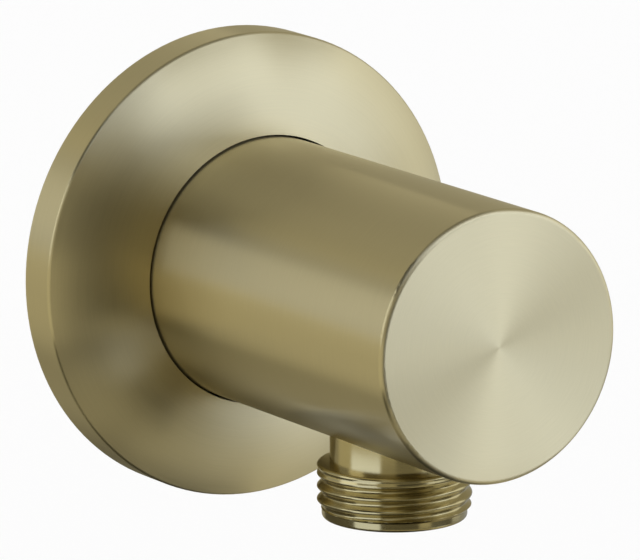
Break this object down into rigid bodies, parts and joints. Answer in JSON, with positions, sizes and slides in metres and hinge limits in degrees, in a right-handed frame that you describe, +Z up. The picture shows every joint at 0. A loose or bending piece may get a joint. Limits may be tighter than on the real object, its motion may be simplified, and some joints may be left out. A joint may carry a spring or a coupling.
{
  "type": "wall outlet elbow",
  "caption": "Shower wall outlet elbow: round cover flange, turned horizontal barrel with a closed front, threaded wall connector and a threaded hose nipple pointing down.",
  "frame": {"origin": "where the barrel's axis meets the wall plane", "axes": "+Y into the wall along the barrel's axis, -Y out of the wall, +Z up, hose outlet along -Z"},
  "size_m": [0.065, 0.0785, 0.065],
  "materials": {
    "brushed_brass": "champagne brass, brushed in circles round each turned axis",
    "polished_brass": "the same champagne brass, turned and less brushed",
    "raw_brass": "plain machined brass",
    "foam_rubber": "black foam rubber",
    "seal_rubber": "black smooth rubber",
    "screw_steel": "stainless steel"
  },
  "bodies": {
    "root": {"elbow_body": "brushed_brass", "wall_flange": "brushed_brass", "outlet_nipple": "polished_brass", "inlet_nipple": "raw_brass", "wall_gasket": "foam_rubber", "inlet_o_ring_rear": "seal_rubber", "inlet_o_ring_front": "seal_rubber", "flange_o_ring": "seal_rubber", "outlet_o_ring": "seal_rubber", "grub_screw": "screw_steel"}
  },
  "joints": []
}
